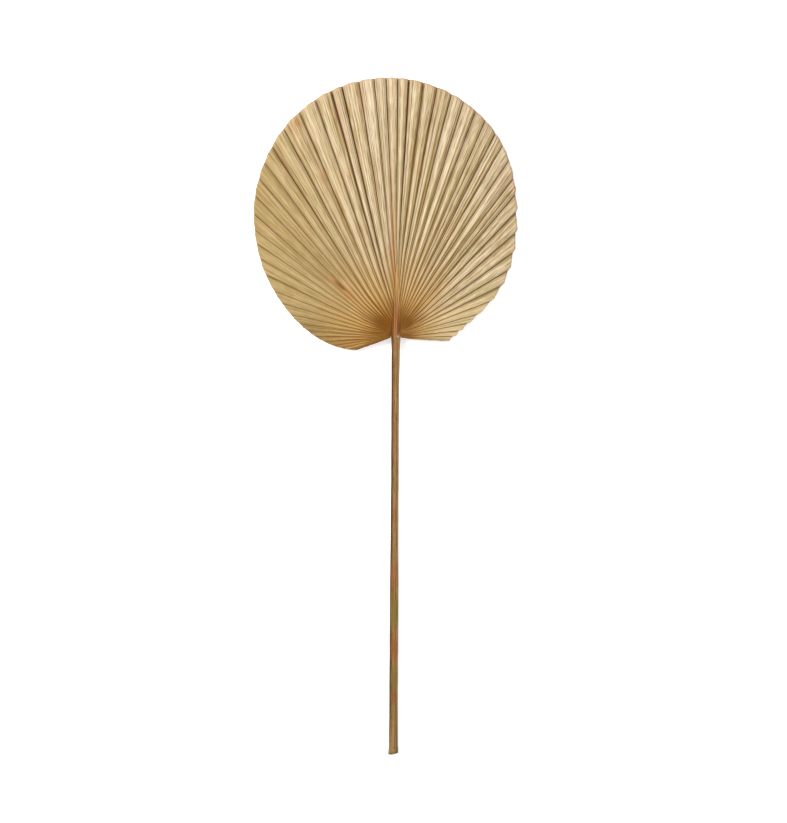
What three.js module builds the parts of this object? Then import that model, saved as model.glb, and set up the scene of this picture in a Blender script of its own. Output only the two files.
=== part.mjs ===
// Dried fan palm leaf, cut and laid on its back: a pleated blade and the stalk that carries it.
// Millimetres, +Z up, +Y from the foot of the stalk to the tip of the blade, +X to the right from above.
// Both pieces are made round the hub, where the pleats meet. The finished group is moved at the end, so that
// its origin lies under the middle of its box.

import * as THREE from 'three';

// The fan: directions are degrees counter-clockwise from +X at the hub. Both lists are evenly spread over it.
const fanStart = -11;
const fanEnd = 205;
const rimReach = [75, 107, 175, 243, 320, 363, 374, 353, 302, 233, 165, 111, 65]; // hub to rim
const foldAim = [-9, -8, -7.5, -6, 1, 7, -2.5, 4.5, 10, 9.5, 9, 8, 5]; // fold line to hub, to its left
const aimShare = 0.22; // share of the way to the rim where a fold has reached that line

// The pleats: each group starts at a direction and holds a number of pleats up to the next group.
const pleatGroups = [
  [-11, 2], [0.8, 4], [23.6, 4], [45, 3], [56.8, 9], [87.2, 2], [92.4, 1], [95.1, 1], [98.6, 1],
  [102.6, 1], [105.2, 1], [109.3, 1], [113.8, 2], [123.9, 3], [136.2, 4], [151.8, 4], [171, 5], [192.5, 3],
];
const foldWander = 0.16; // how far a fold strays from even spacing, as a share of the spacing
const deepFolds = [87.2, 102.6, 105.2, 123.9]; // directions of the folds that are creased deepest
const deepFoldExtra = 0.6;
const deepFoldReach = 0.9;
const pleatRise = 0.42; // height of a pleat over its width, inside the blade
const rimPleatRise = 0.32; // the same at the rim, where the pleats open
const pleatStart = 6; // a pleat's width is counted from this far behind the hub
const flatReach = 24; // the pleats grow out of a flat sheet over this distance
const evenRidge = 0.5; // where the ridge stands between two folds
const boardRidge = 0.13; // the same on the lower right, where the pleats lie like boards
const boardRise = 0.62; // height of those boards, as a share of an even pleat's height
const boardsEnd = 42;
const evenStart = 57;

// The rim: each ridge ends in a tooth.
const boardTooth = 4.6;
const rimTooth = 0.7;
const toothDip = 0.4; // how far a fold falls short, as a share of the tooth
const toothPower = 12;

// The lie of the blade on the surface.
const hubHeight = 16;
const sideDroop = 14.6;
const leftSide = 212;
const rightSide = 179.3;
const tipRise = 4;
const tipReach = 375;
const rimWave = 1.3;
const rimWaveTurns = 3.3;
const foldLift = 1.2; // how far single folds stand above or below the rest at the rim
const bladeThickness = 1.2;
const bladeRows = 11;

// The notch at the base of the blade, which the rib of the stalk fills.
const notchLength = 105; // from the hub to the tip of the notch
const notchSpread = 12; // degrees over which the folds leave the sides of the notch
const notchHalfWidth = 6;
const notchTaper = 0.65;
const notchDrop = 9.5; // the margins of the blade start this far below the hub
const notchFoot = 7.8; // half the width of the notch between them
const gap = 0.35;

// The stalk: its foot, its sides and the rib.
const footEnd = -625;
const footSlant = 3.5; // the cut end runs this much further on its left side
const restEnd = -560; // the foot lies flat up to here
const stalkLean = -3.4; // how far the foot stands to the side of the stalk's top
const stalkTop = -12;
const stalkMiddle = -1.3; // the side position of the stalk's top
const ribMiddle = 0.3;
const ribStraight = 26; // the rib has reached its own side position here
const stalkSides = 12;
const stalkSquareness = 0.8;
const stalkHalfWidths = [
  [-625, 7.4], [-612, 6.4], [-560, 6.1], [-396, 6.1], [-266, 5.3], [-95, 5.3], [-30, 6.0], [-12, 6.7],
];
const stalkDepths = [[-625, 9.4], [-560, 8.8], [-266, 7.6], [-95, 7.4], [-12, 7]];
const stalkStep = 28; // about how far apart its rings are
const ribStart = -7;
const ribEnd = 95;
const ribDepths = [[-12, 7], [0, 7], [45, 4.6], [95, 1.8]];
const ribSink = 1; // the middle of the rib lies this far below the blade
const ribSteps = 15;

// The colours of the two pieces.
const strawColour = 0xc9b287;
const stalkColour = 0x8f6a41;

const degree = Math.PI / 180;

// Returns a value between -0.5 and 0.5 that is always the same for the same number.
function wander(number) {
  const value = Math.sin(number * 12.9898) * 43758.5453;
  return value - Math.floor(value) - 0.5;
}

function mix(from, to, share) {
  return from + (to - from) * share;
}

function smooth(from, to, value) {
  const share = Math.min(1, Math.max(0, (value - from) / (to - from)));
  return share * share * (3 - 2 * share);
}

// Reads a list of [place, value] pairs, smoothly between the places.
function along(pairs, place) {
  const last = pairs.length - 1;
  let index = 1;
  while (index < last && place > pairs[index][0]) {
    index += 1;
  }
  const [fromPlace, fromValue] = pairs[index - 1];
  const [toPlace, toValue] = pairs[index];
  return mix(fromValue, toValue, smooth(fromPlace, toPlace, place));
}

// Reads a list that is evenly spread over the fan, on a smooth curve through its values.
function overFan(values, direction) {
  const last = values.length - 1;
  const place = (direction - fanStart) / (fanEnd - fanStart) * last;
  const index = Math.min(last - 1, Math.max(0, Math.floor(place)));
  const share = place - index;
  const from = values[index];
  const to = values[index + 1];
  const before = values[index - 1] ?? 2 * from - to;
  const after = values[index + 2] ?? 2 * to - from;
  const slope = (to - before) / 2;
  const bend = before - 2.5 * from + 2 * to - 0.5 * after;
  const twist = 1.5 * (from - to) + 0.5 * (after - before);
  return from + share * (slope + share * (bend + share * twist));
}

// Half the width of the notch at a distance above the hub.
function notchHalfAt(y) {
  if (y < 0) {
    return mix(notchHalfWidth, notchFoot, -y / notchDrop);
  }
  return notchHalfWidth * (1 - y / notchLength) ** notchTaper;
}

function middleAt(y) {
  return mix(stalkMiddle, ribMiddle, smooth(-notchDrop, ribStraight, y));
}

// The place on the edge of the notch where the fold of a direction starts.
function notchAt(direction) {
  const turn = Math.abs(direction - 90);
  const widest = direction < 90 ? 90 - fanStart : fanEnd - 90;
  const y = notchLength * Math.exp(-turn / notchSpread) - notchDrop * (turn / widest) ** 3;
  const side = direction < 90 ? 1 : -1;
  return new THREE.Vector2(middleAt(y) + side * notchHalfAt(y), y);
}

// The middle height of the blade over the surface it lies on.
function lieAt(x, y, direction, share) {
  const side = x < 0 ? -x / leftSide : x / rightSide;
  const wave = rimWave * Math.sin(rimWaveTurns * direction * degree) * share ** 2;
  return hubHeight - sideDroop * side ** 2 + tipRise * (y / tipReach) ** 2 + wave;
}

// The folds and ridges, in order round the fan.
function pleatLines() {
  const folds = [];
  pleatGroups.forEach(([start, count], group) => {
    const end = pleatGroups[group + 1]?.[0] ?? fanEnd;
    const spacing = (end - start) / count;
    for (let pleat = 0; pleat < count; pleat += 1) {
      const stray = pleat ? foldWander * spacing * wander(folds.length) : 0;
      folds.push(start + pleat * spacing + stray);
    }
  });
  folds.push(fanEnd);

  const lines = [];
  folds.forEach((direction, index) => {
    const before = folds[index - 1] ?? direction;
    const after = folds[index + 1] ?? direction;
    const nearness = deepFolds.map((fold) => Math.exp(-(((direction - fold) / deepFoldReach) ** 2)));
    const side = -1 - deepFoldExtra * Math.max(...nearness);
    lines.push({ direction, width: (after - before) / 2, side, lift: wander(index + 100) });
    if (index < folds.length - 1) {
      const ridge = mix(boardRidge, evenRidge, smooth(boardsEnd, evenStart, direction));
      const place = mix(direction, after, ridge + 0.16 * ridge * wander(index + 200));
      lines.push({ direction: place, width: after - direction, side: 1, lift: wander(index + 300) });
    }
  });
  return lines;
}

// The point of a fold or ridge at a share of the way from the notch to the rim, in the middle of the blade.
function bladePoint({ direction, width, side, lift }, share) {
  const notch = notchAt(direction);
  const ahead = new THREE.Vector2(Math.cos(direction * degree), Math.sin(direction * degree));
  const aside = new THREE.Vector2(-ahead.y, ahead.x);
  const evenness = smooth(boardsEnd, evenStart, direction);
  const tooth = mix(boardTooth, rimTooth, evenness);
  const teeth = tooth * (side > 0 ? 1 : -toothDip) * share ** toothPower;
  const reach = share * overFan(rimReach, direction) + teeth;
  const swing = (overFan(foldAim, direction) - notch.dot(aside)) * smooth(0, aimShare, share);
  const place = notch.addScaledVector(aside, swing).multiplyScalar(1 - share).addScaledVector(ahead, reach);
  const rise = mix(pleatRise, rimPleatRise, share) * mix(boardRise, 1, evenness);
  const grown = smooth(0, flatReach, reach);
  const pleat = 0.5 * side * rise * grown * width * degree * (reach + pleatStart);
  const height = lieAt(place.x, place.y, direction, share) + pleat + foldLift * lift * share;
  return new THREE.Vector3(place.x, place.y, Math.max(height, bladeThickness / 2));
}

// Makes a closed mesh from points and triangles.
function solid(name, colour, points, triangles) {
  const geometry = new THREE.BufferGeometry();
  const places = points.flatMap((point) => point.toArray());
  geometry.setAttribute('position', new THREE.Float32BufferAttribute(places, 3));
  geometry.setIndex(triangles.flat());
  geometry.computeVertexNormals();
  const material = new THREE.MeshStandardMaterial({ color: colour, roughness: 0.75, metalness: 0 });
  const mesh = new THREE.Mesh(geometry, material);
  mesh.name = name;
  return mesh;
}

// The blade: a sheet of even thickness over all folds and ridges, both faces split into the same triangles.
function makeBlade() {
  const lines = pleatLines();
  const columns = lines.length;
  const half = new THREE.Vector3(0, 0, bladeThickness / 2);
  const middle = [];
  for (let row = 0; row <= bladeRows; row += 1) {
    lines.forEach((line) => middle.push(bladePoint(line, row / bladeRows)));
  }
  const points = [
    ...middle.map((point) => point.clone().add(half)),
    ...middle.map((point) => point.clone().sub(half)),
  ];
  const under = middle.length;
  const triangles = [];
  const wall = (from, to) => triangles.push([from, from + under, to + under], [from, to + under, to]);
  for (let row = 0; row < bladeRows; row += 1) {
    for (let column = 0; column < columns - 1; column += 1) {
      const near = row * columns + column;
      const far = near + columns;
      triangles.push([near, far, far + 1], [near, far + 1, near + 1]);
      const nearUnder = near + under;
      const farUnder = far + under;
      triangles.push([nearUnder, farUnder + 1, farUnder], [nearUnder, nearUnder + 1, farUnder + 1]);
    }
    wall(row * columns, (row + 1) * columns);
    wall((row + 2) * columns - 1, (row + 1) * columns - 1);
  }
  for (let column = 0; column < columns - 1; column += 1) {
    wall(column + 1, column);
    wall(bladeRows * columns + column, bladeRows * columns + column + 1);
  }
  return solid('blade', strawColour, points, triangles);
}

// One ring of the stalk: a rounded square section whose underside is flat.
function stalkRing(x, y, bottom, halfWidth, depth, slant) {
  const ring = [];
  const full = Math.cos(Math.PI / stalkSides) ** stalkSquareness;
  const round = (value) => Math.sign(value) * Math.abs(value) ** stalkSquareness / full;
  for (let side = 0; side < stalkSides; side += 1) {
    const turn = (side + 0.5) * 2 * Math.PI / stalkSides;
    const across = round(Math.cos(turn));
    const up = round(Math.sin(turn));
    ring.push(new THREE.Vector3(x + halfWidth * across, y + slant * across, bottom + depth * (1 + up) / 2));
  }
  return ring;
}

// The stalk, from its cut foot to the tip of the rib in the notch of the blade.
function makeStalk() {
  const rings = [];
  const steps = Math.round((stalkTop - footEnd) / stalkStep);
  const topBottom = hubHeight - ribSink - ribDepths[0][1] / 2;
  for (let step = 0; step <= steps; step += 1) {
    const y = mix(footEnd, stalkTop, step / steps);
    const x = stalkMiddle + stalkLean * (y - stalkTop) / (footEnd - stalkTop);
    const bottom = topBottom * smooth(restEnd, stalkTop, y);
    const slant = step ? 0 : footSlant / 2;
    rings.push(stalkRing(x, y, bottom, along(stalkHalfWidths, y), along(stalkDepths, y), slant));
  }
  for (let step = 0; step <= ribSteps; step += 1) {
    const y = mix(ribStart, ribEnd, step / ribSteps);
    const depth = along(ribDepths, y);
    const bottom = lieAt(middleAt(y), y, 90, 0) - ribSink - depth / 2;
    rings.push(stalkRing(middleAt(y), y, bottom, notchHalfAt(y) - gap, depth, 0));
  }

  const points = rings.flat();
  const triangles = [];
  const ends = rings.length - 1;
  for (let ring = 0; ring < ends; ring += 1) {
    for (let side = 0; side < stalkSides; side += 1) {
      const next = (side + 1) % stalkSides;
      const here = ring * stalkSides;
      const there = here + stalkSides;
      triangles.push([here + side, there + next, here + next], [here + side, there + side, there + next]);
    }
  }
  for (let side = 1; side < stalkSides - 1; side += 1) {
    const tip = ends * stalkSides;
    triangles.push([0, side, side + 1], [tip, tip + side + 1, tip + side]);
  }
  return solid('stalk', stalkColour, points, triangles);
}

const leaf = new THREE.Group();
leaf.add(makeBlade(), makeStalk());
const box = new THREE.Box3().setFromObject(leaf);
const middle = box.getCenter(new THREE.Vector3());
leaf.position.set(-middle.x, -middle.y, -box.min.z);

export default leaf;
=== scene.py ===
# Dried fan palm leaf, cut and laid on its back on a pale floor, seen from straight above.
from math import copysign, cos, exp, floor, pi, radians, sin

import bmesh
import bpy
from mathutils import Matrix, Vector, noise


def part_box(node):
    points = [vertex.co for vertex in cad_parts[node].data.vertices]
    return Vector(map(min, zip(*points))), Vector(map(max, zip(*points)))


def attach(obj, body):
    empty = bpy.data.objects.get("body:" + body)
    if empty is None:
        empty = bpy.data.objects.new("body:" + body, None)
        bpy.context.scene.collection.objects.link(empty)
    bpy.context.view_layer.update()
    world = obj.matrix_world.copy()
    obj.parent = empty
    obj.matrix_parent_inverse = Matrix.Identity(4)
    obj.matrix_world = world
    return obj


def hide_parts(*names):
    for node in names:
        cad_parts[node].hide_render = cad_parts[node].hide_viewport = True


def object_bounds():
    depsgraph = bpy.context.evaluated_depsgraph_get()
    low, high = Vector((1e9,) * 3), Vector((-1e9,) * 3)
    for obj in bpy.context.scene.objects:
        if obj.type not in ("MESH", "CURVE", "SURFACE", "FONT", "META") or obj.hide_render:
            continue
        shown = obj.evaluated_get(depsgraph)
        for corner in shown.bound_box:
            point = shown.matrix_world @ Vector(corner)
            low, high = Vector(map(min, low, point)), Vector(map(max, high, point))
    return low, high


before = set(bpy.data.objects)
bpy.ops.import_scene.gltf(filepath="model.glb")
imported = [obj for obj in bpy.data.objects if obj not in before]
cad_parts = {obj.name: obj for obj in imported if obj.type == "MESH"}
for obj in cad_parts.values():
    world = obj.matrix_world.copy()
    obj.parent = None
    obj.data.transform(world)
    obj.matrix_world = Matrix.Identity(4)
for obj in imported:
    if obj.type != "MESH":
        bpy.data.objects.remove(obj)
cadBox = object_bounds()

mm = 0.001


# Camera: straight down over the leaf, framed as in the photograph

cameraLook = {
    "photoWidth": 787,  # pixels, as are the places of the leaf below
    "photoHeight": 823,
    "leafLeft": 253,
    "leafRight": 519,
    "leafTop": 78,
    "leafFoot": 755.5,
    "lens": 85,
    "sensor": 36,
}


def makeCamera(look, box):
    low, high = box
    pixelsPerMetre = (look["leafFoot"] - look["leafTop"]) / (high.y - low.y)
    distance = look["photoHeight"] * look["lens"] / (look["sensor"] * pixelsPerMetre)
    across = (look["photoWidth"] - look["leafLeft"] - look["leafRight"]) / 2 / pixelsPerMetre
    upward = (look["leafTop"] + look["leafFoot"] - look["photoHeight"]) / 2 / pixelsPerMetre
    middle = (low + high) / 2
    data = bpy.data.cameras.new("camera")
    data.lens = look["lens"]
    data.sensor_width = look["sensor"]
    camera = bpy.data.objects.new("camera", data)
    camera.location = middle + Vector((across, upward, distance))
    bpy.context.scene.collection.objects.link(camera)
    bpy.context.scene.camera = camera


makeCamera(cameraLook, cadBox)
print("camera in place")


# Shader tools: sums on a Wire add Math nodes, and any other node comes from Finish.node

class Wire:
    def __init__(self, finish, socket):
        self.finish = finish
        self.socket = socket

    def __add__(self, other):
        return self.finish.maths("ADD", self, other)

    def __sub__(self, other):
        return self.finish.maths("SUBTRACT", self, other)

    def __mul__(self, other):
        return self.finish.maths("MULTIPLY", self, other)

    def __truediv__(self, other):
        return self.finish.maths("DIVIDE", self, other)

    def __rsub__(self, other):
        return self.finish.maths("SUBTRACT", other, self)

    __radd__ = __add__
    __rmul__ = __mul__


class Finish:
    def __init__(self, name):
        self.material = bpy.data.materials.new(name)
        self.material.use_nodes = True
        self.tree = self.material.node_tree
        self.tree.nodes.clear()

    def node(self, kind, settings=None, sockets=None, output=0):
        made = self.tree.nodes.new("ShaderNode" + kind)
        for name, value in (settings or {}).items():
            setattr(made, name, value)
        for place, value in (sockets or {}).items():
            if isinstance(value, Wire):
                self.tree.links.new(value.socket, made.inputs[place])
            else:
                made.inputs[place].default_value = value
        return Wire(self, made.outputs[output])

    def maths(self, operation, first, second=0.0):
        return self.node("Math", {"operation": operation}, {0: first, 1: second})

    def blend(self, share, first, second, how="MIX"):
        return self.node("Mix", {"data_type": "RGBA", "blend_type": how}, {0: share, 6: first, 7: second}, 2)

    def between(self, value, low, high):  # 0 below low, 1 above high and smooth in between
        return self.node("MapRange", {"interpolation_type": "SMOOTHSTEP"}, {0: value, 1: low, 2: high})

    def near(self, value, inner, outer):  # 1 up to inner, fading to 0 at outer, on both sides of zero
        return 1 - self.between(self.maths("ABSOLUTE", value), inner, outer)

    def place(self, x, y, z=0.0):
        return self.node("CombineXYZ", {}, {0: x, 1: y, 2: z})

    def streaks(self, place, detail=2.0, roughness=0.5):  # soft noise round 0.5
        sockets = {"Vector": place, "Scale": 1.0, "Detail": detail, "Roughness": roughness}
        return self.node("TexNoise", {}, sockets)

    def chance(self, number):  # a value from 0 to 1 that is the same all over one whole number
        return self.node("TexWhiteNoise", {"noise_dimensions": "1D"}, {"W": number})

    def split(self, vector):
        return [self.node("SeparateXYZ", {}, {"Vector": vector}, axis) for axis in range(3)]

    def spot(self, x, y, centre, size, turn=0):  # 1 in the middle of an oval, fading to 0 past its edge
        fromX, fromY = x - centre[0], y - centre[1]
        ahead = (fromX * cos(radians(turn)) + fromY * sin(radians(turn))) / size[0]
        aside = (fromY * cos(radians(turn)) - fromX * sin(radians(turn))) / size[1]
        away = self.maths("SQRT", ahead * ahead + aside * aside)
        return 1 - self.between(away, 0.3, 1.1)

    def finish(self, colour, roughness, height, specular):  # height in millimetres
        normal = self.node("Bump", {}, {"Strength": 1.0, "Distance": mm, "Height": height})
        sockets = {"Base Color": colour, "Roughness": roughness, "Specular IOR Level": specular,
                   "Normal": normal}
        return self.output(self.node("BsdfPrincipled", {}, sockets))

    def output(self, shader):
        output = self.tree.nodes.new("ShaderNodeOutputMaterial")
        self.tree.links.new(shader.socket, output.inputs[0])
        return self.material


lightGain = 1.5  # how much brighter the stage's light shows a face than its own colour


def tint(red, green, blue, gain=1):  # a screen colour as the shader's linear colour, to multiply with
    return tuple(((value / 255 + 0.055) / 1.055) ** 2.4 / gain for value in (red, green, blue)) + (1,)


def paint(red, green, blue):  # a colour as it shows on the lit stage
    return tint(red, green, blue, lightGain)


def paints(look):
    return {key: paint(*value) if isinstance(value, tuple) else value for key, value in look.items()}


def mix(low, high, share):
    return low + (high - low) * share


def smooth(low, high, value):
    share = min(1, max(0, (value - low) / (high - low)))
    return share * share * (3 - 2 * share)


def wander(number):  # from -0.5 to 0.5, always the same for the same number
    value = sin(number * 12.9898) * 43758.5453
    return value - floor(value) - 0.5


def along(pairs, place):  # reads a list of places and values smoothly
    index = 1
    while index < len(pairs) - 1 and place > pairs[index][0]:
        index += 1
    (fromPlace, fromValue), (toPlace, toValue) = pairs[index - 1], pairs[index]
    return mix(fromValue, toValue, smooth(fromPlace, toPlace, place))


def newPiece(name, mesh, *materials):
    for material in materials:
        mesh.materials.append(material)
    piece = bpy.data.objects.new(name, mesh)
    bpy.context.scene.collection.objects.link(piece)
    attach(piece, "root")
    return piece


# The leaf's form, in millimetres round the hub where the pleats meet; directions are degrees from +X

fan = {
    "start": -11,
    "end": 205,
    # from the hub to the rim, and how far folds pass the hub, both evenly spread from start to end
    "rimReach": [75, 107, 175, 243, 320, 363, 374, 353, 302, 233, 165, 111, 65],
    "foldAim": [-9, -8, -7.5, -6, 1, 7, -2.5, 4.5, 10, 9.5, 9, 8, 5],
    "aimShare": 0.22,
    # where each group of even pleats starts, and how many pleats it has
    "pleatGroups": [(-11, 2), (0.8, 4), (23.6, 4), (45, 3), (56.8, 9), (87.2, 2), (92.4, 1), (95.1, 1),
                    (98.6, 1), (102.6, 1), (105.2, 1), (109.3, 1), (113.8, 2), (123.9, 3), (136.2, 4),
                    (151.8, 4), (171, 5), (192.5, 3)],
    "foldWander": 0.16,
    "deepFolds": (87.2, 102.6, 105.2, 123.9),
    "deepFoldExtra": 0.6,
    "deepFoldReach": 0.9,
    "pleatRise": 0.42,
    "rimPleatRise": 0.32,
    "pleatStart": 6,
    "flatReach": 24,
    "evenRidge": 0.5,
    "boardRidge": 0.13,
    "ridgeWander": 0.16,
    "boardRise": 0.62,
    "boardsEnd": 42,
    "evenStart": 57,
    "boardTooth": 4.6,
    "rimTooth": 0.7,
    "toothDip": 0.4,
    "toothPower": 12,
    "hubHeight": 16,
    "sideDroop": 14.6,
    "leftSide": 212,
    "rightSide": 179.3,
    "tipRise": 4,
    "tipReach": 375,
    "rimWave": 1.3,
    "rimWaveTurns": 3.3,
    "foldLift": 1.2,
    "solidThickness": 1.2,
    "solidRows": 11,
    "notchLength": 105,
    "notchSpread": 12,
    "notchHalfWidth": 6,
    "notchTaper": 0.65,
    "notchDrop": 9.5,
    "notchFoot": 7.8,
    "stalkMiddle": -1.3,
    "ribMiddle": 0.3,
    "ribStraight": 26,
}


def overFan(values, direction):  # a smooth curve through values that are evenly spread over the fan
    last = len(values) - 1
    place = (direction - fan["start"]) / (fan["end"] - fan["start"]) * last
    index = min(last - 1, max(0, floor(place)))
    share = place - index
    here, there = values[index], values[index + 1]
    before = values[index - 1] if index else 2 * here - there
    after = values[index + 2] if index + 2 <= last else 2 * there - here
    slope = (there - before) / 2
    bend = before - 2.5 * here + 2 * there - 0.5 * after
    twist = 1.5 * (here - there) + 0.5 * (after - before)
    return here + share * (slope + share * (bend + share * twist))


def notchHalfAt(y):
    if y < 0:
        return mix(fan["notchHalfWidth"], fan["notchFoot"], -y / fan["notchDrop"])
    return fan["notchHalfWidth"] * max(0, 1 - y / fan["notchLength"]) ** fan["notchTaper"]


def middleAt(y):
    return mix(fan["stalkMiddle"], fan["ribMiddle"], smooth(-fan["notchDrop"], fan["ribStraight"], y))


def notchAt(direction):
    turn = abs(direction - 90)
    widest = 90 - fan["start"] if direction < 90 else fan["end"] - 90
    y = fan["notchLength"] * exp(-turn / fan["notchSpread"]) - fan["notchDrop"] * (turn / widest) ** 3
    return Vector((middleAt(y) + copysign(notchHalfAt(y), 90 - direction), y))


def lieAt(x, y, direction, share):
    side = -x / fan["leftSide"] if x < 0 else x / fan["rightSide"]
    wave = fan["rimWave"] * sin(fan["rimWaveTurns"] * radians(direction)) * share ** 2
    tip = fan["tipRise"] * (y / fan["tipReach"]) ** 2
    return fan["hubHeight"] - fan["sideDroop"] * side ** 2 + tip + wave


def evennessAt(direction):  # from 0 on the lopsided boards at the right to 1 on even pleats
    return smooth(fan["boardsEnd"], fan["evenStart"], direction)


def pleatLines():  # folds and ridges in turn, from the right lobe to the left one
    folds = []
    groups = fan["pleatGroups"] + [(fan["end"], 0)]
    for (start, count), (end, _) in zip(groups, groups[1:]):
        spacing = (end - start) / count
        for pleat in range(count):
            stray = fan["foldWander"] * spacing * wander(len(folds)) if pleat else 0
            folds.append(start + pleat * spacing + stray)
    folds.append(fan["end"])
    lines = []
    for index, direction in enumerate(folds):
        before = folds[max(0, index - 1)]
        after = folds[min(len(folds) - 1, index + 1)]
        nearness = max(exp(-((direction - fold) / fan["deepFoldReach"]) ** 2) for fold in fan["deepFolds"])
        side = -1 - fan["deepFoldExtra"] * nearness
        lines.append((direction, (after - before) / 2, side, wander(index + 100)))
        if index < len(folds) - 1:
            ridge = mix(fan["boardRidge"], fan["evenRidge"], evennessAt(direction))
            place = mix(direction, after, ridge + fan["ridgeWander"] * ridge * wander(index + 200))
            lines.append((place, after - direction, 1, wander(index + 300)))
    return lines


def bladePoint(line, share, toothShare=1):  # on a fold or ridge, from the notch to the rim
    direction, width, side, lift = line
    notch = notchAt(direction)
    ahead = Vector((cos(radians(direction)), sin(radians(direction))))
    aside = Vector((-ahead.y, ahead.x))
    evenness = evennessAt(direction)
    tooth = mix(fan["boardTooth"] * toothShare, fan["rimTooth"], evenness)
    teeth = tooth * (1 if side > 0 else -fan["toothDip"]) * share ** fan["toothPower"]
    reach = share * overFan(fan["rimReach"], direction) + teeth
    swing = (overFan(fan["foldAim"], direction) - notch.dot(aside)) * smooth(0, fan["aimShare"], share)
    x, y = (notch + aside * swing) * (1 - share) + ahead * reach
    rise = mix(fan["pleatRise"], fan["rimPleatRise"], share) * mix(fan["boardRise"], 1, evenness)
    grown = smooth(0, fan["flatReach"], reach)
    pleat = 0.5 * side * rise * grown * radians(width) * (reach + fan["pleatStart"])
    height = lieAt(x, y, direction, share) + pleat + fan["foldLift"] * lift * share
    return Vector((x, y, max(height, fan["solidThickness"] / 2)))


lines = pleatLines()
facets = len(lines) - 1
rows = fan["solidRows"]
solidPoints = [bladePoint(line, row / rows) for line in lines for row in range(rows + 1)]
solidLow = Vector((min(point.x for point in solidPoints), min(point.y for point in solidPoints), 0))
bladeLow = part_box("blade")[0]
hub = Vector((bladeLow.x - solidLow.x * mm, bladeLow.y - solidLow.y * mm, 0))  # in the frame, in metres
print("hub at", [round(value, 4) for value in hub])


def inFrame(point):
    return hub + point * mm


# Blade: a grid laid over the pleats; towards the rim each fold narrows to a groove between flat strips

blade = {
    "grooveColumns": 3,
    "flatColumns": 3,
    "rows": 64,
    "thickness": 0.5 * mm,
    "openFrom": 0.4,  # shares of the way to the rim where the pleats start and stop to open
    "leftOpenFrom": 0,
    "openTo": 0.96,
    "leftOpenTo": 0.6,
    "grooveWidth": 0.13,  # of a facet, at the rim
    "grooveHeight": 0.66,  # of the pleat, at the rim
    "openHeight": 0.45,  # of the solid's pleats, at the rim
    "pleatHeight": 0.8,  # of the solid's pleats, and less in the flatter left half
    "leftHeight": 0.5,
    "toothShare": 0.62,  # of the solid's teeth along the boards
    "crownHeight": 0.5,  # mm, as are the rest
    "sway": 0.7,
    "ripple": 0.45,
    "swell": 0.8,
    "nick": 1.3,
    "fray": 0.35,
}


def facetPlaces(open):  # from the fold to the ridge, three columns in the groove and three on the flat
    knee = mix(0.5, blade["grooveWidth"], open)
    groove = [knee * column / blade["grooveColumns"] for column in range(blade["grooveColumns"])]
    flat = [mix(knee, 1, column / blade["flatColumns"]) for column in range(blade["flatColumns"] + 1)]
    return groove + flat


def facetRise(place, open):  # how high the facet has come at a place between its fold and its ridge
    knee = mix(0.5, blade["grooveWidth"], open)
    kneeHeight = mix(0.5, blade["grooveHeight"], open)
    if place < knee:
        rise = kneeHeight * place / knee
    else:
        rise = mix(kneeHeight, 1, (place - knee) / (1 - knee))
    return rise


def bladeRow(share):
    marks = [bladePoint(line, share, blade["toothShare"]) for line in lines]
    row = []
    for facet in range(facets):
        direction = lines[facet][0]
        toLeft = smooth(84, 94, direction)
        openFrom = mix(blade["openFrom"], blade["leftOpenFrom"], toLeft)
        openTo = mix(blade["openTo"], blade["leftOpenTo"], toLeft)
        open = smooth(openFrom, openTo, share) * evennessAt(direction)
        foldLine = facet + facet % 2
        fold, ridge = marks[foldLine], marks[2 * facet + 1 - foldLine]
        depth = -1 - lines[foldLine][2]
        width = (ridge - fold).length
        pleatHeight = mix(blade["pleatHeight"], blade["leftHeight"], smooth(88, 130, direction))
        pleatHeight = mix(pleatHeight, min(pleatHeight, blade["openHeight"]), open * share)
        middle = (fold.z + ridge.z) / 2
        low, high = mix(middle, fold.z, pleatHeight), mix(middle, ridge.z, pleatHeight)
        places = facetPlaces(open)
        if facet % 2:
            places.reverse()
        for place in places[:len(places) - (facet < facets - 1)]:
            point = fold.lerp(ridge, place)
            column = facet + (place if facet % 2 == 0 else 1 - place)
            crown = blade["crownHeight"] * wander(facet + 700) * 8 * place * (1 - place) * min(1, width / 8)
            ripple = blade["ripple"] * share * noise.noise(Vector((column * 0.9, share * 14, 7.5)))
            swell = blade["swell"] * share * noise.noise(Vector((column * 0.12, share * 5, 3.5)))
            point.z = mix(low, high, facetRise(place, open)) + crown + ripple + swell
            outward = radians(direction)
            sway = noise.noise(Vector((column * 0.6, share * 5, 1.5))) * blade["sway"] * (share - share ** 9)
            nick = max(0, noise.noise(Vector((column * 1.7, 3.5, 0.5))) - 0.1) * blade["nick"]
            fray = (0.5 + noise.noise(Vector((column * 6.1, 8.5, 0.5)))) * blade["fray"]
            inward = (nick + fray) * share ** 60
            point.x += -sin(outward) * sway - cos(outward) * inward
            point.y += cos(outward) * sway - sin(outward) * inward
            point.z = max(point.z, fan["solidThickness"] / 2)
            row.append((point, column, width * place, width * (1 - place), depth))
    return row


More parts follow.
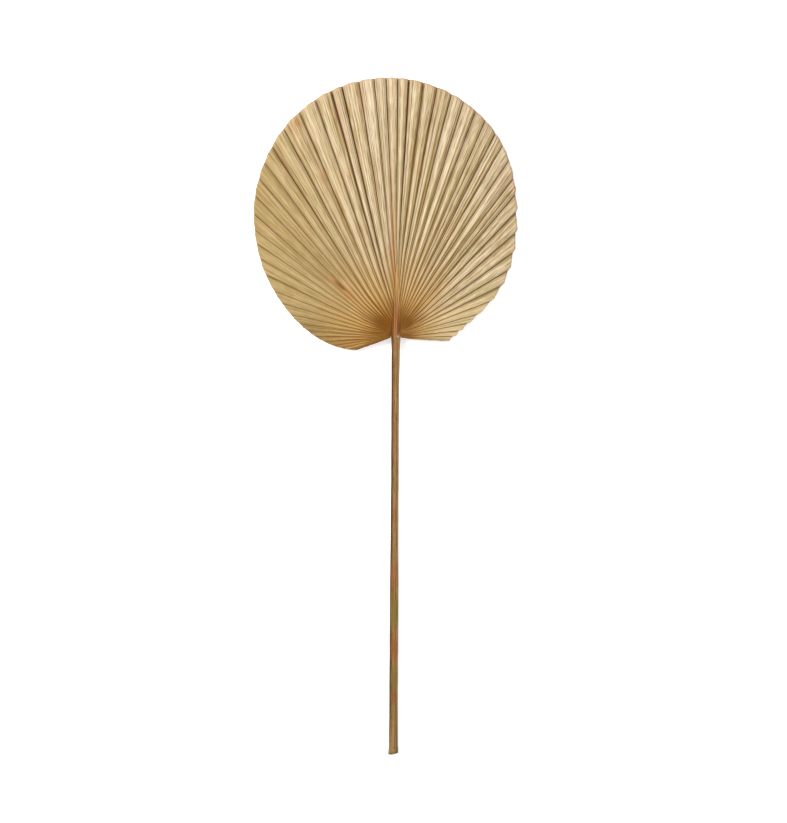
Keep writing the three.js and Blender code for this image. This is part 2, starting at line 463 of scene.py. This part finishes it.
def makeBladeMesh():
    columns = facets * (blade["grooveColumns"] + blade["flatColumns"])
    bm = bmesh.new()
    uv = bm.loops.layers.uv.new("leafUv")
    foldGap = bm.verts.layers.float.new("foldGap")
    ridgeGap = bm.verts.layers.float.new("ridgeGap")
    foldDepth = bm.verts.layers.float.new("foldDepth")
    bmesh.ops.create_grid(bm, x_segments=columns, y_segments=blade["rows"], size=0.5)
    grid = [bladeRow(row / blade["rows"]) for row in range(blade["rows"] + 1)]
    cells = {}
    for vert in bm.verts:
        column = round((vert.co.x + 0.5) * columns)
        row = round((vert.co.y + 0.5) * blade["rows"])
        point, line, fold, ridge, depth = grid[row][column]
        vert.co = inFrame(point)
        vert[foldGap] = fold
        vert[ridgeGap] = ridge
        vert[foldDepth] = depth
        cells[vert] = (line / facets, row / blade["rows"])
    for face in bm.faces:
        face.smooth = True
        for loop in face.loops:
            loop[uv].uv = cells[loop.vert]
    bmesh.ops.reverse_faces(bm, faces=bm.faces)
    mesh = bpy.data.meshes.new("blade_sheet")
    bm.to_mesh(mesh)
    bm.free()
    return mesh


strawLook = {
    "pale": (206, 185, 142),
    "middle": (190, 164, 119),
    "olive": (172, 148, 99),
    "cream": (234, 217, 187),
    "bright": (226, 200, 148),
    "vein": (140, 106, 56),
    "fold": (76, 48, 14),
    "warm": (188, 138, 62),
    "hub": (114, 66, 10),
    "rust": (182, 108, 46),
    "pink": (212, 168, 136),
    "green": (176, 166, 112),
    "streak": (100, 54, 20),
    "under": (184, 164, 122),
    "cut": (160, 132, 88),
    "roughness": 0.6,
    "specular": 0.05,
}

# Tints to multiply with: painted shade for the facets turned away from the light, and tones for the left
# half and the lobes
strawTints = {"paintedShade": tint(225, 209, 156), "left": tint(224, 215, 186), "lobe": tint(180, 168, 134)}

# Marks on the sheet: middle and size in millimetres from the hub, turn in degrees, colour and strength
strawMarks = [
    ((-78, 62), (42, 4.5), 138, "rust", 0.45),
    ((-72, 69), (15, 5), 138, "pink", 0.5),
    ((-84, 67.5), (15, 3), 138, "streak", 0.9),
    ((-186, 146), (20, 6), 145, "pink", 0.35),
    ((-147, 307), (9, 5), 116, "rust", 0.6),
    ((-168, 232), (5, 22), 0, "pink", 0.35),
    ((-75, -17), (34, 6), 196, "rust", 0.5),
    ((58, 339), (12, 8), 80, "pink", 0.5),
    ((17, 330), (34, 3.5), 86, "rust", 0.5),
    ((-80, 300), (60, 5), 104, "pink", 0.75),
    ((140, 60), (26, 16), 25, "green", 0.5),
    ((100, 14), (34, 10), 10, "green", 0.4),
    ((176, 215), (9, 26), 0, "pink", 0.45),
    ((-19, 13), (19, 14), 150, "hub", 0.9),
    ((14, 13), (13, 14), 0, "hub", 0.9),
    ((-45, -9), (40, 9), 194, "hub", 0.15),
    ((-9, -5), (6, 5), 0, "streak", 0.9),
]


def strawFinish(name, under):
    look = paints(strawLook)
    straw = Finish(name)
    line, share, _ = straw.split(straw.node("UVMap", {"uv_map": "leafUv"}))
    line = line * facets
    x, y, _ = straw.split(straw.node("TexCoord", {}, {}, 3))
    x = (x - hub.x) * 1000
    y = (y - hub.y) * 1000
    away = straw.maths("SQRT", x * x + y * y) + 0.1
    foldGap = straw.node("Attribute", {"attribute_name": "foldGap"}, {}, 2)
    ridgeGap = straw.node("Attribute", {"attribute_name": "ridgeGap"}, {}, 2)
    foldDepth = straw.node("Attribute", {"attribute_name": "foldDepth"}, {}, 2)
    width = foldGap + ridgeGap
    facet = straw.maths("FLOOR", line)
    wide = straw.between(width, 0.5, 2.2)
    toLeft = 1 - straw.between(x / away, -0.8, -0.15)
    toLobe = (1 - straw.between(y / away, -0.25, 0.3)) * (0.06 + toLeft * 0.7)
    toBoards = straw.between(x / away, 0.72, 0.85)

    broad = straw.streaks(straw.place(line * 1.3, share * 2.2), 3)
    fine = straw.streaks(straw.place(line * 3.4, share * 3), 2, 0.6)
    hair = straw.streaks(straw.place(line * 11, share * 9), 3, 0.6)
    grain = straw.streaks(straw.place(foldGap * 0.75, share * 14, facet * 7.3), 1)
    cloud = straw.streaks(straw.place(x * 0.02, y * 0.02), 3)
    blush = straw.streaks(straw.place(line * 0.8, share * 7, 50.0), 2)

    colour = straw.blend(straw.chance(facet), look["middle"], look["pale"])
    colour = straw.blend(straw.between(broad, 0.45, 0.66) * 0.6, colour, look["olive"])
    colour = straw.blend(straw.between(cloud, 0.48, 0.7) * 0.4, colour, look["olive"])
    creamTop = straw.between(y, 60, 300) * straw.between(straw.chance(facet + 400), 0.3, 0.8)
    creamTop = creamTop * straw.between(x / away, -0.45, -0.2)
    colour = straw.blend(creamTop * 0.6, colour, look["cream"])
    contrast = 1 - toLeft * 0.55
    colour = straw.blend(straw.between(fine, 0.53, 0.6) * contrast * 0.5, colour, look["cream"])
    colour = straw.blend((1 - straw.between(fine, 0.4, 0.47)) * contrast * 0.5, colour, look["vein"])
    colour = straw.blend(straw.between(hair, 0.56, 0.7) * 0.4, colour, look["vein"])
    colour = straw.blend(straw.between(grain, 0.5, 0.64) * contrast * 0.5, colour, look["cream"])
    colour = straw.blend((1 - straw.between(grain, 0.36, 0.5)) * contrast * 0.5, colour, look["vein"])
    colour = straw.blend(straw.between(blush, 0.52, 0.68) * (0.3 - toLeft * 0.15), colour, look["pink"])
    colour = straw.blend((1 - straw.between(blush, 0.3, 0.46)) * 0.35, colour, look["green"])
    height = fine * 0.6 + hair * 0.25 + grain * 0.35
    for number, tone in enumerate(("vein", "cream", "fold", "cream")):
        at = straw.chance(facet + 1000 * (number + 1)) * 0.76 + 0.12
        strong = straw.chance(facet + 7000 + 1000 * number)
        crease = straw.near(foldGap - at * width, 0.3, 0.9 + 0.8 * strong) * straw.between(width, 2, 5)
        crease = crease * (0.25 + 0.75 * strong) * (1 - toLeft * 0.5)
        colour = straw.blend(crease * 0.6, colour, look[tone])
        height = height + crease * (0.35 if tone == "cream" else -0.4)

    colour = straw.blend(toLeft * 0.9, colour, strawTints["left"], "MULTIPLY")
    colour = straw.blend(toLobe, colour, strawTints["lobe"], "MULTIPLY")
    # Painted shade: the facets that turn away from the light at the upper left are darkened, less so towards
    # the rim and in the left half
    fromLight = (x * 0.47 + y * 0.88) / away * (1 - 2 * straw.maths("MODULO", facet, 2))
    paintedShade = straw.between(fromLight, 0, 0.9) * (1 - 0.7 * straw.between(share, 0.4, 0.96))
    paintedShade = paintedShade * (0.4 + 0.6 * straw.between(x / away, -0.1, 0.1))
    colour = straw.blend(paintedShade * 0.8, colour, strawTints["paintedShade"], "MULTIPLY")
    # Painted shade on the lopsided boards at the right: darkest beside each ridge, fading over about half
    # the facet
    paintedBoardShade = toBoards * (1 - straw.between(ridgeGap / (width + 0.01), 0, 0.55))
    colour = straw.blend(paintedBoardShade * 0.3, colour, strawTints["paintedShade"], "MULTIPLY")
    warmth = 1 - straw.between(away + (broad - 0.5) * 60 + toBoards * 25, 20, 150)
    colour = straw.blend(warmth * 0.85, colour, look["warm"])
    middle = straw.near(x + 0.3 + straw.between(y, 10, 120) * 5.5 - (fine - 0.5) * 6, 1.5, 6)
    middle = middle * (1 - straw.between(y, 110, 215)) * straw.between(fine, 0.35, 0.55)
    colour = straw.blend(middle * 0.75, colour, look["rust"])
    lit = straw.near(x + 2 + y * 0.012, 0.4, 1.9) * (1 - straw.between(y, 250, 380))
    colour = straw.blend(lit * 0.4, colour, look["rust"])
    rays = straw.streaks(straw.place(line * 0.7, share * 3, 20.0), 1)
    toRight = straw.between(x / away, 0.9, 0.98)
    browned = 1 - straw.between(away + (rays - 0.5) * 70 + (hair - 0.5) * 24 + toRight * 22, 12, 62)
    colour = straw.blend(browned * 0.6, colour, look["hub"])
    colour = straw.blend(toRight * straw.between(away, 35, 80) * 0.55, colour, look["bright"])
    for centre, size, turn, tone, strength in strawMarks:
        mark = straw.spot(x, y, centre, size, turn) * straw.between(fine, 0.3, 0.55) * strength
        colour = straw.blend(mark, colour, look[tone])
    # Painted highlight: a thin line along each ridge, warm near the hub and cream further out, weaker in the
    # outer left half
    ridge = 1 - straw.between(ridgeGap, 0.2, straw.maths("MINIMUM", width * 0.6, 1.2))
    ridge = ridge * wide * (1 - toLeft * 0.8 * straw.between(away, 60, 120))
    ridgeHighlightTone = straw.blend(straw.between(away, 25, 90), look["warm"], look["cream"])
    colour = straw.blend(ridge * 0.4, colour, ridgeHighlightTone)
    # Painted shade: the facet darkens in the vein colour as it nears each fold, less in the left half
    paintedFoldShade = 1 - straw.between(foldGap, 0.5, width * 0.45 + 1)
    colour = straw.blend(paintedFoldShade * (1 - toLeft * 0.5) * 0.35, colour, look["vein"])
    # Painted shade: a dark line in the fold colour down each fold, wider at the deep folds, darker towards
    # the rim and fainter in the outer left half
    reach = straw.maths("MINIMUM", width * 0.75, 1.5 + foldDepth * 2.5)
    groove = (1 - straw.between(foldGap, reach * 0.15, reach)) * wide
    fade = 1 - toLeft * 0.6 * straw.between(away, 60, 120)
    colour = straw.blend(groove * (0.6 + share * 0.38) * fade, colour, look["fold"])
    colour = straw.blend(browned * 0.55, colour, look["hub"])
    rim = straw.between(share, 0.982, 0.995) * (1 - toLeft)
    colour = straw.blend(rim * 0.4, colour, look["pink"])
    edge = 1 - straw.between(straw.maths("MINIMUM", line, facets - line) + (hair - 0.5) * 2, 0.3, 2.4)
    colour = straw.blend(edge * (0.35 + 0.5 * toLeft), colour, look["streak"])
    if under:
        colour = straw.blend(0.45, colour, look["under"])
    roughness = look["roughness"] + (fine - 0.5) * 0.3
    return straw.finish(colour, roughness, height, look["specular"])


def cutFinish():
    cut = Finish("straw_cut_edge")
    line, share, _ = cut.split(cut.node("UVMap", {"uv_map": "leafUv"}))
    grain = cut.streaks(cut.place(line * 30, share * 5), 2)
    colour = cut.blend(grain, paint(*strawLook["cut"]), paint(*strawLook["vein"]))
    return cut.finish(colour, 0.8, grain * 0.2, 0.2)


def makeBlade():
    mesh = makeBladeMesh()
    upper = strawFinish("straw_upper_face", False)
    lower = strawFinish("straw_under_face", True)
    piece = newPiece("blade_sheet", mesh, upper, lower, cutFinish())
    wall = piece.modifiers.new("thickness", "SOLIDIFY")
    wall.thickness = blade["thickness"]
    wall.offset = 0
    wall.material_offset = 1
    wall.material_offset_rim = 2
    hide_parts("blade")


makeBlade()
print("blade laid out with", facets // 2, "pleats")


# Stalk: a tube of fibres from the cut foot to the tip of the rib between the pleats

stalk = {
    "foot": -625.5,
    "slant": 2.6,
    "fray": 0.8,
    "restEnd": -560,
    "lean": -3.4,
    "shift": -0.35,
    "top": -12,
    "squareness": 0.8,
    "halfWidths": [(-625, 7.7), (-612, 6.8), (-560, 6.5), (-396, 6.5), (-266, 5.8), (-95, 5.8), (-30, 6.3),
                   (-12, 6.8)],
    "depths": [(-625, 9.4), (-560, 8.8), (-266, 7.6), (-95, 7.4), (-12, 7)],
    "ribDepths": [(-12, 7), (0, 7), (45, 4.6), (95, 1.8), (104, 1.6)],
    "ribSink": 1,
    "ribStart": -2,  # above this the rib fills the notch of the blade
    "ribEnd": 104.5,
    "ribLap": 0.8,  # so that no knob of the rib leaves a slit beside the sheet
    "around": 48,
    "rings": 400,
    "ribShare": 0.22,  # share of the rings that lie in the rib
    "groove": 0.4,
    "knobs": 0.35,
    "strands": 3.2,
    "strandDepth": 0.45,
}


def stalkRing(place):  # x, y, bottom, half width and depth at a share of the way from foot to tip
    bodyShare = 1 - stalk["ribShare"]
    topBottom = fan["hubHeight"] - stalk["ribSink"] - stalk["ribDepths"][0][1] / 2
    if place < bodyShare:
        y = mix(stalk["foot"], stalk["top"], place / bodyShare)
        x = fan["stalkMiddle"] + stalk["lean"] * (y - stalk["top"]) / (stalk["foot"] - stalk["top"])
        x += stalk["shift"] * smooth(stalk["top"], stalk["top"] - 60, y)
        bottom = topBottom * smooth(stalk["restEnd"], stalk["top"], y)
        return x, y, bottom, along(stalk["halfWidths"], y), along(stalk["depths"], y)
    y = mix(stalk["top"], stalk["ribEnd"], (place - bodyShare) / stalk["ribShare"])
    depth = along(stalk["ribDepths"], y)
    bottom = lieAt(middleAt(y), y, 90, 0) - stalk["ribSink"] - depth / 2
    grown = smooth(stalk["top"], stalk["ribStart"], y)
    ribHalf = notchHalfAt(max(y, -fan["notchDrop"])) + stalk["ribLap"]
    halfWidth = mix(stalk["halfWidths"][-1][1], ribHalf, grown)
    return middleAt(y), y, bottom, halfWidth, depth


def stalkPoint(turnShare, place):
    x, y, bottom, halfWidth, depth = stalkRing(place)
    turn = 2 * pi * turnShare
    full = cos(pi / 12) ** stalk["squareness"]
    across = copysign(abs(cos(turn)) ** stalk["squareness"], cos(turn)) / full
    up = copysign(abs(sin(turn)) ** stalk["squareness"], sin(turn)) / full
    across = max(-1, min(1, across))
    up = max(-1, min(1, up))
    fibre = noise.noise(Vector((cos(turn) * 5, sin(turn) * 5, y * 0.012)))
    knob = noise.noise(Vector((cos(turn) * 0.9, sin(turn) * 0.9, y * 0.03 + 40)))
    size = min(1, halfWidth / 5)
    hollow = stalk["groove"] * (0.5 + fibre) + stalk["knobs"] * (0.5 + knob)
    shrink = 1 - hollow * size / max(1, halfWidth) * 0.6
    sway = 0.12 * noise.noise(Vector((across * 2, y * 0.03, 9)))
    strand = 0.5 + 0.5 * cos(2 * pi * stalk["strands"] * (across + sway))
    carved = stalk["strandDepth"] * strand * max(0, up) * smooth(-30, 5, y) * size
    slant = stalk["slant"] / 2 * across * smooth(-600, -624, y)
    slant += stalk["fray"] * (0.5 + noise.noise(Vector((across * 3, up * 3, 5.5)))) * smooth(-614, -624, y)
    z = bottom + depth / 2 * (1 + up * (shrink if up > 0 else 1)) - carved
    return Vector((x + halfWidth * across * shrink, y + slant, z))


def makeStalkMesh():
    bm = bmesh.new()
    bmesh.ops.create_grid(bm, x_segments=stalk["around"], y_segments=stalk["rings"], size=0.5)
    for vert in bm.verts:
        vert.co = inFrame(stalkPoint(vert.co.x + 0.5, vert.co.y + 0.5))
    bmesh.ops.remove_doubles(bm, verts=bm.verts, dist=0.00001)
    ends = [edge for edge in bm.edges if edge.is_boundary]
    bmesh.ops.holes_fill(bm, edges=ends, sides=0)
    bmesh.ops.recalc_face_normals(bm, faces=bm.faces)
    for face in bm.faces:
        face.smooth = len(face.verts) == 4
    mesh = bpy.data.meshes.new("stalk_fibres")
    bm.to_mesh(mesh)
    bm.free()
    return mesh


stalkLook = {
    "base": (138, 95, 46),
    "light": (174, 133, 84),
    "dark": (74, 46, 16),
    "grey": (164, 144, 108),
    "olive": (122, 104, 46),
    "rust": (144, 88, 40),
    "foot": (158, 130, 84),
    "fray": (106, 98, 52),
    "rib": (184, 118, 60),
    "ribDark": (100, 52, 8),
    "ribTip": (206, 164, 100),
    "paleSpot": (184, 166, 138),
    "roughness": 0.58,
    "specular": 0.12,
}

# Patches along the stalk: middle and size in millimetres from the hub, colour and strength
stalkPatches = [
    ((-3, -412), (9, 38), "olive", 0.8),
    ((-3, -512), (9, 22), "olive", 0.7),
    ((-3, -470), (9, 26), "rust", 0.75),
    ((-4, -541), (7, 13), "rust", 0.8),
    ((-2, -360), (9, 26), "rust", 0.5),
    ((-3, -574), (9, 26), "olive", 0.35),
    ((-8, -204), (4, 48), "dark", 0.7),
    ((-2, -22), (7, 12), "rust", 0.5),
    # a small pale spot where the stalk meets the blade
    ((2, -8), (2.4, 2.8), "paleSpot", 0.7),
]


def stalkFinish():
    look = paints(stalkLook)
    wood = Finish("dried_stalk")
    x, y, z = wood.split(wood.node("TexCoord", {}, {}, 3))
    x = (x - hub.x) * 1000
    y = (y - hub.y) * 1000
    z = z * 1000
    steep = stalk["lean"] / (stalk["foot"] - stalk["top"])
    across = x - fan["stalkMiddle"] - wood.maths("MINIMUM", y - stalk["top"], 0) * steep
    fibres = wood.streaks(wood.place(across * 0.8, y * 0.02, z * 0.8), 3, 0.6)
    threads = wood.streaks(wood.place(across * 4, y * 0.05, z * 4), 2)
    patches = wood.streaks(wood.place(across * 0.1, y * 0.02, 3.0), 3, 0.6)
    spots = wood.streaks(wood.place(across * 0.45, y * 0.09, 9.0), 2)
    colour = wood.blend(wood.between(fibres, 0.38, 0.62), look["base"], look["light"])
    colour = wood.blend(wood.between(patches, 0.5, 0.66) * 0.6, colour, look["rust"])
    colour = wood.blend((1 - wood.between(patches, 0.36, 0.5)) * 0.5, colour, look["olive"])
    colour = wood.blend((1 - wood.between(y, -618, -580)) * 0.6, colour, look["foot"])
    colour = wood.blend(wood.between(spots, 0.6, 0.7) * 0.6, colour, look["dark"])
    colour = wood.blend(wood.between(across + (fibres - 0.5) * 3, 1.6, 4.4) * 0.6, colour, look["grey"])
    leftEdge = 1 - wood.between(across - (fibres - 0.5) * 3 - (patches - 0.5) * 3, -4.6, -1.6)
    leftEdge = leftEdge * wood.between(y, -640, -540) * (1 - 0.45 * wood.near(y + 396, 30, 70))
    colour = wood.blend(leftEdge * 0.95, colour, look["dark"])
    wave = (patches - 0.5) * 5
    colour = wood.blend(wood.near(across - 0.6 + wave, 0.3, 1.1) * 0.5, colour, look["light"])
    colour = wood.blend(wood.near(across - 2.1 + wave, 0.2, 1.1) * 0.5, colour, look["dark"])
    colour = wood.blend(wood.between(threads, 0.52, 0.68) * 0.5, colour, look["dark"])
    rightEdge = wood.between(across + (fibres - 0.5) * 3, 2.4, 4.4) * (1 - wood.between(y, -610, -520))
    colour = wood.blend(rightEdge * 0.6, colour, look["dark"])
    frayed = (1 - wood.between(y, -625, -619)) * wood.between(threads, 0.36, 0.5)
    colour = wood.blend(frayed * 0.9, colour, look["fray"])
    ribbed = wood.between(y, -16, 2)
    strand = wood.streaks(wood.place(across * (0.8 + y * 0.006) + 3.1, y * 0.008), 1)
    ribTone = wood.blend(wood.between(y, 20, 60), look["rib"], look["ribTip"])
    leftSide = 1 - wood.between(across, -2.5, 0.5)
    ribTone = wood.blend(leftSide * wood.between(y, 20, 60) * 0.7, ribTone, look["rib"])
    ribTone = wood.blend((1 - wood.between(strand, 0.46, 0.52)) * 0.85, ribTone, look["ribDark"])
    sides = (1 - wood.near(across + 0.4, 1.6, 3.2)) * (1 - wood.between(y, 5, 45))
    ribTone = wood.blend(sides * (0.5 + threads * 0.6), ribTone, look["ribDark"])
    colour = wood.blend(ribbed * 0.9, colour, ribTone)
    for centre, size, tone, strength in stalkPatches:
        mark = wood.spot(x, y, centre, size) * wood.between(fibres, 0.25, 0.45) * strength
        colour = wood.blend(mark, colour, look[tone])
    height = fibres * 0.8 + threads * 0.25 + strand * ribbed * 0.6
    return wood.finish(colour, look["roughness"] + (fibres - 0.5) * 0.25, height, look["specular"])


stalkPiece = newPiece("stalk_fibres", makeStalkMesh(), stalkFinish())
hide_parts("stalk")
print("stalk shaped")


# Stage: a pale floor, with one light from the upper left and a bright sky

stage = {
    "floorHalf": 6,
    "floorColour": 0.86,
    "floorGlow": 0.35,
    "skyColour": (1, 1, 1, 1),
    "skyStrength": 1.05,
    "keyFrom": (-1.65, 0.9, 2.15),
    "keyTo": (0, 0.15, 0),
    "keySize": 1.2,
    "keyPower": 92,
}


def makeFloor():
    bm = bmesh.new()
    bmesh.ops.create_grid(bm, x_segments=1, y_segments=1, size=stage["floorHalf"])
    bmesh.ops.translate(bm, verts=bm.verts, vec=(0, 0, -0.2 * mm))
    mesh = bpy.data.meshes.new("floor")
    bm.to_mesh(mesh)
    bm.free()
    tone = stage["floorColour"]
    pale = Finish("pale_floor")
    shader = {"Base Color": (tone, tone, tone, 1), "Roughness": 0.9, "Specular IOR Level": 0.1,
              "Emission Color": (1, 1, 1, 1), "Emission Strength": stage["floorGlow"]}
    mesh.materials.append(pale.output(pale.node("BsdfPrincipled", {}, shader)))
    floorPiece = bpy.data.objects.new("floor", mesh)
    bpy.context.scene.collection.objects.link(floorPiece)


def makeKey():
    data = bpy.data.lights.new("key", "AREA")
    data.shape = "DISK"
    data.size = stage["keySize"]
    data.energy = stage["keyPower"]
    light = bpy.data.objects.new("key", data)
    light.location = stage["keyFrom"]
    aim = Vector(stage["keyTo"]) - light.location
    light.rotation_euler = aim.to_track_quat("-Z", "Y").to_euler()
    bpy.context.scene.collection.objects.link(light)


def makeSky():
    world = bpy.data.worlds.new("studio")
    world.use_nodes = True
    sky = world.node_tree.nodes["Background"]
    sky.inputs[0].default_value = stage["skyColour"]
    sky.inputs[1].default_value = stage["skyStrength"]
    bpy.context.scene.world = world


makeFloor()
makeKey()
makeSky()
bpy.context.scene.view_settings.view_transform = "Standard"
print("stage lit")
